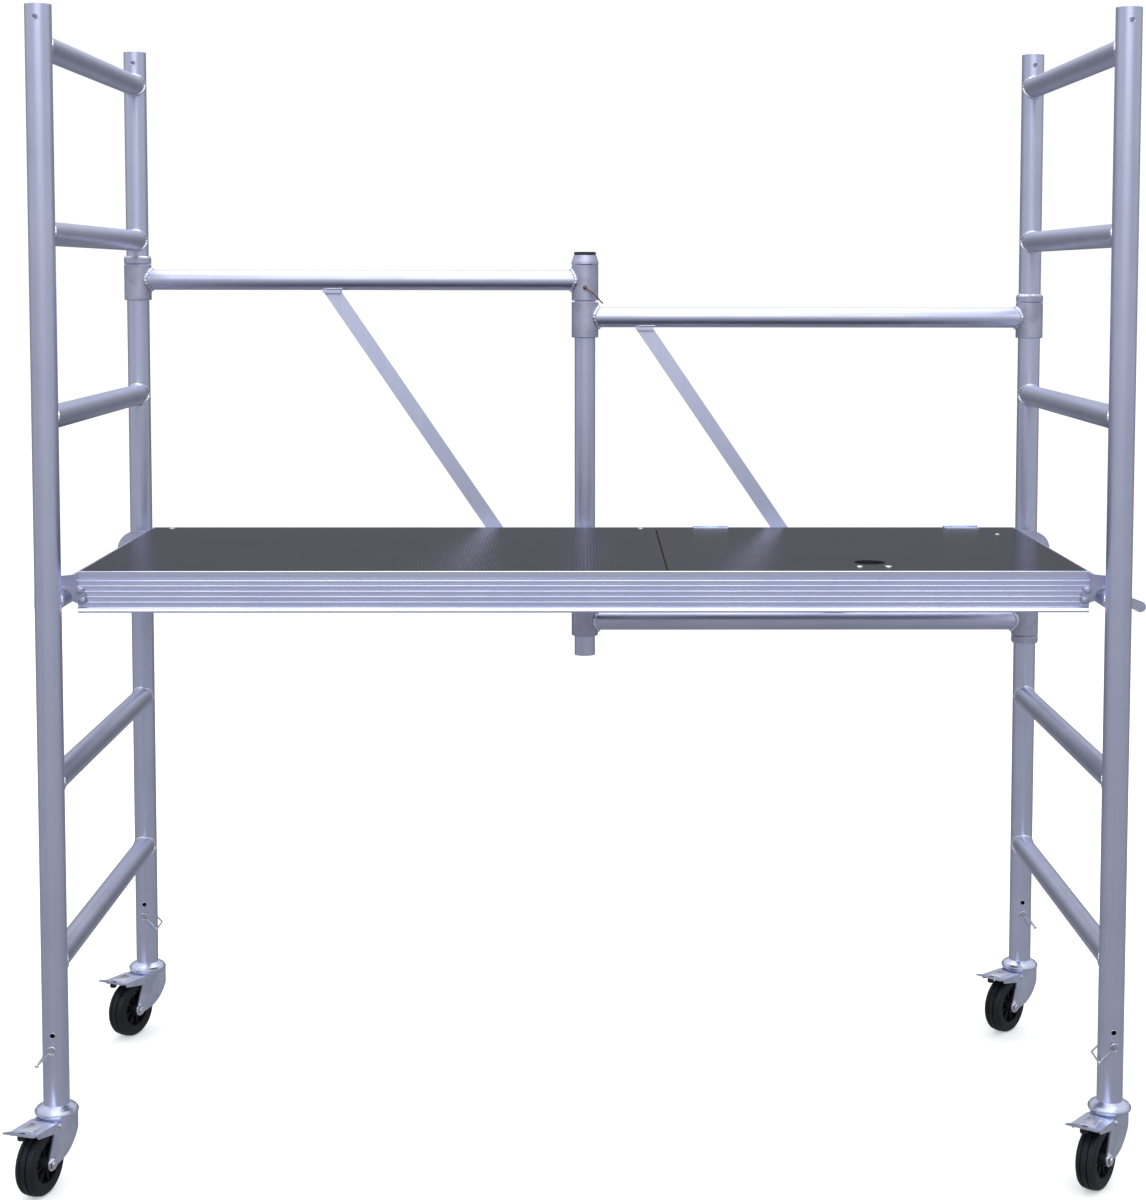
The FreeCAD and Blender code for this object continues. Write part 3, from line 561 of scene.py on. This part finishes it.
for side in ("left", "right"):
    low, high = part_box(f"{side}_gate_brace")
    upper_z = middle(f"{side}_gate_upper_tube").z - TUBE_R
    lower_z = middle(f"{side}_gate_lower_tube").z + TUBE_R

    def brace_beads(bm, low=low, high=high, upper_z=upper_z, lower_z=lower_z):
        for x0, x1, z, tip in (
            (low.x, low.x + BRACE_FOOT, upper_z, 1),
            (high.x - BRACE_FOOT, high.x, lower_z, -1),
        ):
            for way in (-1, 1):
                y = REAR_Y + way * BRACE_WELD_Y
                drop = TUBE_R - math.sqrt(TUBE_R**2 - BRACE_WELD_Y**2)
                a = Vector((x0 + BEAD_INSET, y, z + tip * drop))
                b = Vector((x1 - BEAD_INSET, y, z + tip * drop))
                fillet_bead(bm, a, b, x0)

    piece(f"{side}_brace_welds", brace_beads, f"{side}_gate", "weld", 60)


# ---- Casters -----------------------------------------------------------------------------

# Each caster's pieces are built about its own upright axis, trailing along X, and
# then moved to its post. TRAIL is the way that each one trails.
TRAIL = {}
for corner in CORNERS:
    way = middle(f"{corner}_hub") - POST_AXIS[corner]
    TRAIL[corner] = math.atan2(way.y, way.x)
WHEEL_MID = (middle("front_left_hub") - POST_AXIS["front_left"]).to_2d().length
WHEEL_R = span("front_left_tyre").z / 2

# "Side" is how far something stands from the wheel's middle plane.
TYRE_SIDE = 15.5 * MM
TYRE_RING_LIFT = 0.1 * MM
TYRE_RINGS = ((42.0 * MM, 0.7 * MM), (36.6 * MM, 0.6 * MM))
HUB_RIB_COUNT = 8
HUB_RIB_TURN = 11
HUB_RIB_MID = 20.6 * MM
HUB_RIB_SIDE = 8.0 * MM
HUB_RIB_SIZE = (17.6 * MM, 7.0 * MM, 2.4 * MM)
HUB_RIB_EASE = 0.5 * MM
HUB_RING_SIDE = 16.4 * MM
HUB_RING_R = 9.2 * MM
HUB_RING_WIRE = 0.7 * MM

# Discs are given as radius, height and the ease of the rim.
WASHER_SIDE = 21.0 * MM
WASHER = (11.0 * MM, 1.6 * MM, 0.5 * MM)
BOLT_SIDE = 25.8 * MM
BOLT_END = (4.6 * MM, 1.6 * MM, 0.6 * MM)

PEDAL_ROOT = Vector((36.0, 0.0, 109.0)) * MM
PEDAL_BEND = Vector((91.0, 0.0, 111.0)) * MM
PAD_TOP = Vector((99.0, 0.0, 112.5)) * MM
PAD = (6.0 * MM, 9.5 * MM, 1.6 * MM)
PLATE_ALONG = 0.60
PLATE_LIFT = 0.3 * MM
PLATE_SIZE = (34.0 * MM, 24.0 * MM, 2.6 * MM)
PLATE_EASE = 1.0 * MM


def spin_ring(bm, centre, axis, ring_r, tube_r, steps):
    """A round ring of wire about axis."""
    u = axis.orthogonal().normalized()
    v = axis.cross(u)
    centres, frames = [], []
    for n in range(steps):
        t = 2 * math.pi * n / steps
        radial = u * math.cos(t) + v * math.sin(t)
        centres.append(centre + radial * ring_r)
        frames.append((radial, axis))
    ring_tube(bm, centres, frames, [tube_r] * steps)


def place_caster(bm, corner):
    """Moves what was built about a caster's own axis to its post."""
    at = Matrix.Translation((POST_AXIS[corner].x, POST_AXIS[corner].y, 0.0))
    placed = at @ Matrix.Rotation(TRAIL[corner], 4, "Z")
    bmesh.ops.transform(bm, matrix=placed, verts=bm.verts[:])


def slope_frame(start, end, along, lift):
    """A frame on a sloping top, a share along from start to end: X up the slope, Z off it."""
    way = (end - start).normalized()
    up = Vector((-way.z, 0.0, way.x))
    origin = start.lerp(end, along) + up * lift
    return Matrix((
        (way.x, 0.0, up.x, origin.x),
        (0.0, 1.0, 0.0, origin.y),
        (way.z, 0.0, up.z, origin.z),
        (0.0, 0.0, 0.0, 1.0),
    ))


for corner in CORNERS:

    def tread_rings(bm, corner=corner):
        hub = Vector((WHEEL_MID, 0.0, WHEEL_R))
        for way in (-1, 1):
            for ring_r, wire in TYRE_RINGS:
                at = hub + Y * way * (TYRE_SIDE + TYRE_RING_LIFT - wire * 0.5)
                spin_ring(bm, at, Y, ring_r, wire, 72)
        place_caster(bm, corner)

    piece(f"{corner}_tyre_rings", tread_rings, f"{corner}_wheel", "tyre")

    def hub_ribs(bm, corner=corner):
        hub = Vector((WHEEL_MID, 0.0, WHEEL_R))
        for way in (-1, 1):
            for n in range(HUB_RIB_COUNT):
                angle = math.radians(360 / HUB_RIB_COUNT * n + HUB_RIB_TURN)
                out = Matrix.Translation((HUB_RIB_MID, way * HUB_RIB_SIDE, 0))
                at = Matrix.Translation(hub) @ Matrix.Rotation(angle, 4, "Y") @ out
                add_box(bm, at, HUB_RIB_SIZE, HUB_RIB_EASE)
            spin_ring(bm, hub + Y * way * HUB_RING_SIDE, Y, HUB_RING_R, HUB_RING_WIRE, 48)
        place_caster(bm, corner)

    piece(f"{corner}_hub_ribs", hub_ribs, f"{corner}_wheel", "hub")

    def fork_trim(bm, corner=corner):
        axle = Vector((WHEEL_MID, 0.0, WHEEL_R))
        for way in (-1, 1):
            add_disc(bm, axle + Y * way * WASHER_SIDE, Y * way, *WASHER)
            add_disc(bm, axle + Y * way * BOLT_SIDE, Y * way, *BOLT_END)
        place_caster(bm, corner)

    piece(f"{corner}_fork_trim", fork_trim, f"{corner}_caster", "bright")

    def pedal_pad(bm, corner=corner):
        add_disc(bm, PAD_TOP, -Z, *PAD)
        place_caster(bm, corner)

    piece(f"{corner}_pedal_pad", pedal_pad, f"{corner}_brake", "pad")

    def pedal_plate(bm, corner=corner):
        top = slope_frame(PEDAL_ROOT, PEDAL_BEND, PLATE_ALONG, PLATE_LIFT)
        add_box(bm, top, PLATE_SIZE, PLATE_EASE)
        place_caster(bm, corner)

    piece(f"{corner}_pedal_plate", pedal_plate, f"{corner}_brake", "bright")

# ---- Posts: the rims of the cross holes --------------------------------------------------------

# Heights are measured from a post's foot and down from its top.
SPARE_HOLE_UP = 112 * MM
TOP_HOLE_DOWN = 20 * MM
HOLE_RIM_R = 4.3 * MM
HOLE_RIM_WIRE = 0.5 * MM

for side in ("left", "right"):

    def hole_rims(bm, side=side):
        for depth in ("front", "rear"):
            axis = POST_AXIS[f"{depth}_{side}"]
            for z in (POST_LOW + SPARE_HOLE_UP, POST_TOP - TOP_HOLE_DOWN):
                for out in (-Y, Y):
                    base = Vector((axis.x, axis.y, z))
                    saddle_bead(bm, base, out, X, POST_R, HOLE_RIM_R, HOLE_RIM_WIRE, z)

    piece(f"{side}_hole_rims", hole_rims, f"{side}_frame", "bright", 60)

# ---- Boards --------------------------------------------------------------------------------------

TOP = BOARD_HIGH.z
RIDGE_PITCH = 5 * MM
RIDGE_INSET = 10 * MM
RIDGE_MARGIN = 4 * MM
# A ridge's section, in millimetres along the board and up from its top.
RIDGE_SECTION = ((-1.3, -0.10), (-0.6, 0.20), (0.6, 0.20), (1.3, -0.10))


def board_ribs(bm):
    """Low ridges across the fixed board, from its front to its rear."""
    count = int((BOARD_HIGH.x - BOARD_LOW.x - RIDGE_INSET - RIDGE_MARGIN) / RIDGE_PITCH)
    for n in range(count):
        x = BOARD_LOW.x + RIDGE_INSET + RIDGE_PITCH * n
        front, rear = [
            [bm.verts.new((x + dx * MM, y, TOP + dz * MM)) for dx, dz in RIDGE_SECTION]
            for y in (BOARD_LOW.y + RIDGE_MARGIN, BOARD_HIGH.y - RIDGE_MARGIN)
        ]
        join_rows(bm, front, rear)
        bm.faces.new(front)
        bm.faces.new(rear)


piece("board_ribs", board_ribs, "platform", "lined", 70)

RIVET_ROW_Y = BOARD_HIGH.y - 12 * MM
RIVETS = (
    (BOARD_LOW.x + 34 * MM, RIVET_ROW_Y),
    (BOARD_HIGH.x - 26 * MM, RIVET_ROW_Y),
)
RIVET_HEAD = (5.2 * MM, 1.1 * MM, 0.8 * MM)


def board_rivets(bm):
    for x, y in RIVETS:
        add_disc(bm, (x, y, TOP), Z, *RIVET_HEAD)


piece("board_rivets", board_rivets, "platform", "bright")

FINGER = Vector(((HATCH_LOW.x + HATCH_HIGH.x) / 2, DECK_FRONT + 106 * MM, HATCH_HIGH.z))
HATCH_SCREWS = (
    (FINGER.x - 22 * MM, FINGER.y - 49 * MM),
    (FINGER.x + 22 * MM, FINGER.y - 49 * MM),
    (HATCH_HIGH.x - 49 * MM, HATCH_HIGH.y - 106 * MM),
)
SCREW_HEAD = (4.4 * MM, 1.0 * MM, 0.7 * MM)
SCREW_BUTTON = (1.7 * MM, 0.5 * MM, 0.2 * MM)
SCREW_BUTTON_UP = 0.9 * MM


def hatch_screws(bm):
    for x, y in HATCH_SCREWS:
        add_disc(bm, (x, y, FINGER.z), Z, *SCREW_HEAD)
        add_disc(bm, (x, y, FINGER.z + SCREW_BUTTON_UP), Z, *SCREW_BUTTON)


piece("hatch_screws", hatch_screws, "hatch", "bright")


# The lining's section, as radius and height from the hatch's top.
LINING_SECTION = (
    (25.7 * MM, -11.8 * MM),
    (25.7 * MM, 0.2 * MM),
    (24.4 * MM, -0.2 * MM),
    (24.4 * MM, -11.8 * MM),
)


def finger_lining(bm):
    """A thin dark sleeve lining the hatch's finger hole."""
    rows = [circle(bm, FINGER + Z * z, X, Y, radius, 64) for radius, z in LINING_SECTION]
    for n in range(len(rows)):
        join_rows(bm, rows[n - 1], rows[n])


piece("finger_hole_lining", finger_lining, "hatch", "pad")

BEAM_LOW, BEAM_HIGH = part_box("deck_cross_beams")
SEAM_X = (BOARD_HIGH.x + HATCH_LOW.x) / 2
BEAM_HALF = 20 * MM
RAIL_FLANGE = 22 * MM
WELD_OFF_FLANGE = 5 * MM
# The middles of the cross beams, along X.
BEAMS = (
    BEAM_LOW.x + BEAM_HALF,
    (SEAM_X + RAIL_LOW.x) / 2,
    SEAM_X,
    BEAM_HIGH.x - BEAM_HALF,
)


def beam_welds(bm):
    """Beads under the deck, where the cross beams meet the rails' flanges."""
    edge = RAIL_FLANGE + WELD_OFF_FLANGE
    for n, x in enumerate(BEAMS):
        for wall, way in ((DECK_FRONT + edge, 1), (DECK_REAR - edge, -1)):
            a = Vector((x - BEAM_HALF + BEAD_INSET, wall, BEAM_LOW.z))
            b = Vector((x + BEAM_HALF - BEAD_INSET, wall, BEAM_LOW.z))
            fillet_bead(bm, a, b, n + 0.3 * way)


piece("deck_beam_welds", beam_welds, "platform", "weld", 60)

# ---- Camera ---------------------------------------------------------------------------------

# The camera stands in front of the scaffold and looks slightly down (angles in
# degrees). Its lens is shifted, in shares of the picture's longer side.
CAMERA_PLACE = (0.007, -3.5972, 1.4003)
CAMERA_PITCH = 4.09
CAMERA_YAW = 0.70
CAMERA_ROLL = 0.08
SENSOR_MM, LENS_MM = 36.0, 65.103
SHIFT_ACROSS, SHIFT_UP = -0.0315, -0.1398333

camera_data = bpy.data.cameras.new("camera")
camera_data.sensor_width = SENSOR_MM
camera_data.sensor_fit = "AUTO"
camera_data.lens = LENS_MM
camera_data.shift_x = SHIFT_ACROSS
camera_data.shift_y = SHIFT_UP
camera = bpy.data.objects.new("camera", camera_data)
bpy.context.scene.collection.objects.link(camera)
turn = Matrix.Rotation(math.radians(-CAMERA_YAW), 4, "Z")
tilt = Matrix.Rotation(math.radians(90 - CAMERA_PITCH), 4, "X")
roll = Matrix.Rotation(math.radians(CAMERA_ROLL), 4, "Z")
camera.matrix_world = Matrix.Translation(CAMERA_PLACE) @ turn @ tilt @ roll
bpy.context.scene.camera = camera


# ---- Light ----------------------------------------------------------------------------------

STUDIO_WHITE = (0.92, 0.94, 1.0)


def area_light(name, place, aim, width, height, power):
    """A soft rectangular light at place that shines towards aim."""
    data = bpy.data.lights.new(name, "AREA")
    data.shape = "RECTANGLE"
    data.size = width
    data.size_y = height
    data.energy = power
    data.color = STUDIO_WHITE
    obj = bpy.data.objects.new(name, data)
    bpy.context.scene.collection.objects.link(obj)
    way = Vector(aim) - Vector(place)
    obj.matrix_world = Matrix.Translation(place) @ way.to_track_quat("-Z", "Y").to_matrix().to_4x4()


area_light("overhead", (0.0, 0.2, 4.6), (0.0, 0.0, 0.9), 4.5, 4.5, 95.0)
area_light("front_high", (0.0, -5.2, 4.0), (0.0, 0.0, 1.0), 5.0, 2.0, 70.0)

bpy.context.scene.view_settings.view_transform = "Standard"

# The room's brightness from straight down (0) to straight up (1).
STOPS = (
    (0.00, 0.30),
    (0.20, 0.34),
    (0.40, 0.38),
    (0.50, 0.50),
    (0.56, 0.62),
    (0.75, 0.84),
    (1.00, 0.92),
)
ROOM_TINT = (0.90, 0.93, 1.0)
FAR_SIDE_DIMMING = 0.55
BACKDROP_STRENGTH = 1.05


def room_colour(n, height):
    """The room's grey at a height from -1 to 1, from STOPS."""
    half = n.add("MapRange")
    half.inputs["From Min"].default_value = -1.0
    half.inputs["From Max"].default_value = 1.0
    n.link(height, half.inputs["Value"])
    ramp = n.add("ValToRGB")
    n.link(half.outputs[0], ramp.inputs["Fac"])
    while len(ramp.color_ramp.elements) < len(STOPS):
        ramp.color_ramp.elements.new(0.5)
    for element, (position, value) in zip(ramp.color_ramp.elements, STOPS):
        element.position = position
        element.color = dimmed(ROOM_TINT, value)
    return ramp.outputs[0]


def room_strength(n, y, z):
    """The far side of the room is dim near the horizon."""
    behind = n.ramp(y, 0.15, 0.75)
    low_down = n.math("SUBTRACT", 1.0, n.ramp(n.math("ABSOLUTE", z), 0.14, 0.38))
    dimming = n.math("MULTIPLY", n.math("MULTIPLY", behind, low_down), FAR_SIDE_DIMMING)
    return n.math("SUBTRACT", 1.0, dimming)


def make_world():
    """A grey room lights the object; the camera itself sees plain white."""
    world = bpy.data.worlds.new("world")
    bpy.context.scene.world = world
    world.use_nodes = True
    n = Nodes(world.node_tree)
    split = n.add("SeparateXYZ")
    n.link(n.add("TexCoord").outputs["Generated"], split.inputs[0])
    room = n.add("Background")
    n.link(room_colour(n, split.outputs["Z"]), room.inputs["Color"])
    n.link(room_strength(n, split.outputs["Y"], split.outputs["Z"]), room.inputs["Strength"])
    backdrop = n.add("Background")
    backdrop.inputs["Color"].default_value = rgb(1.0, 1.0, 1.0)
    backdrop.inputs["Strength"].default_value = BACKDROP_STRENGTH
    mixer = n.add("MixShader")
    n.link(n.add("LightPath").outputs["Is Camera Ray"], mixer.inputs[0])
    n.link(room.outputs[0], mixer.inputs[1])
    n.link(backdrop.outputs[0], mixer.inputs[2])
    n.link(mixer.outputs[0], n.add("OutputWorld").inputs[0])


make_world()

# ---- Floor ----------------------------------------------------------------------------------

FLOOR = 40.0


def floor_paint():
    """Pale matt paint that also glows a little, so that the floor reads as white."""
    paint = bpy.data.materials.new("pale_floor")
    paint.use_nodes = True
    inputs = paint.node_tree.nodes["Principled BSDF"].inputs
    inputs["Base Color"].default_value = rgb(0.95, 0.93, 0.88)
    inputs["Roughness"].default_value = 0.9
    inputs["Emission Color"].default_value = rgb(1.0, 1.0, 1.0)
    inputs["Emission Strength"].default_value = 0.40
    return paint


floor_mesh = bpy.data.meshes.new("floor")
floor_corners = [(-FLOOR, -FLOOR, 0), (FLOOR, -FLOOR, 0), (FLOOR, FLOOR, 0), (-FLOOR, FLOOR, 0)]
floor_mesh.from_pydata(floor_corners, [], [(0, 1, 2, 3)])
floor_mesh.materials.append(floor_paint())
floor = bpy.data.objects.new("floor", floor_mesh)
bpy.context.scene.collection.objects.link(floor)
floor.visible_glossy = False
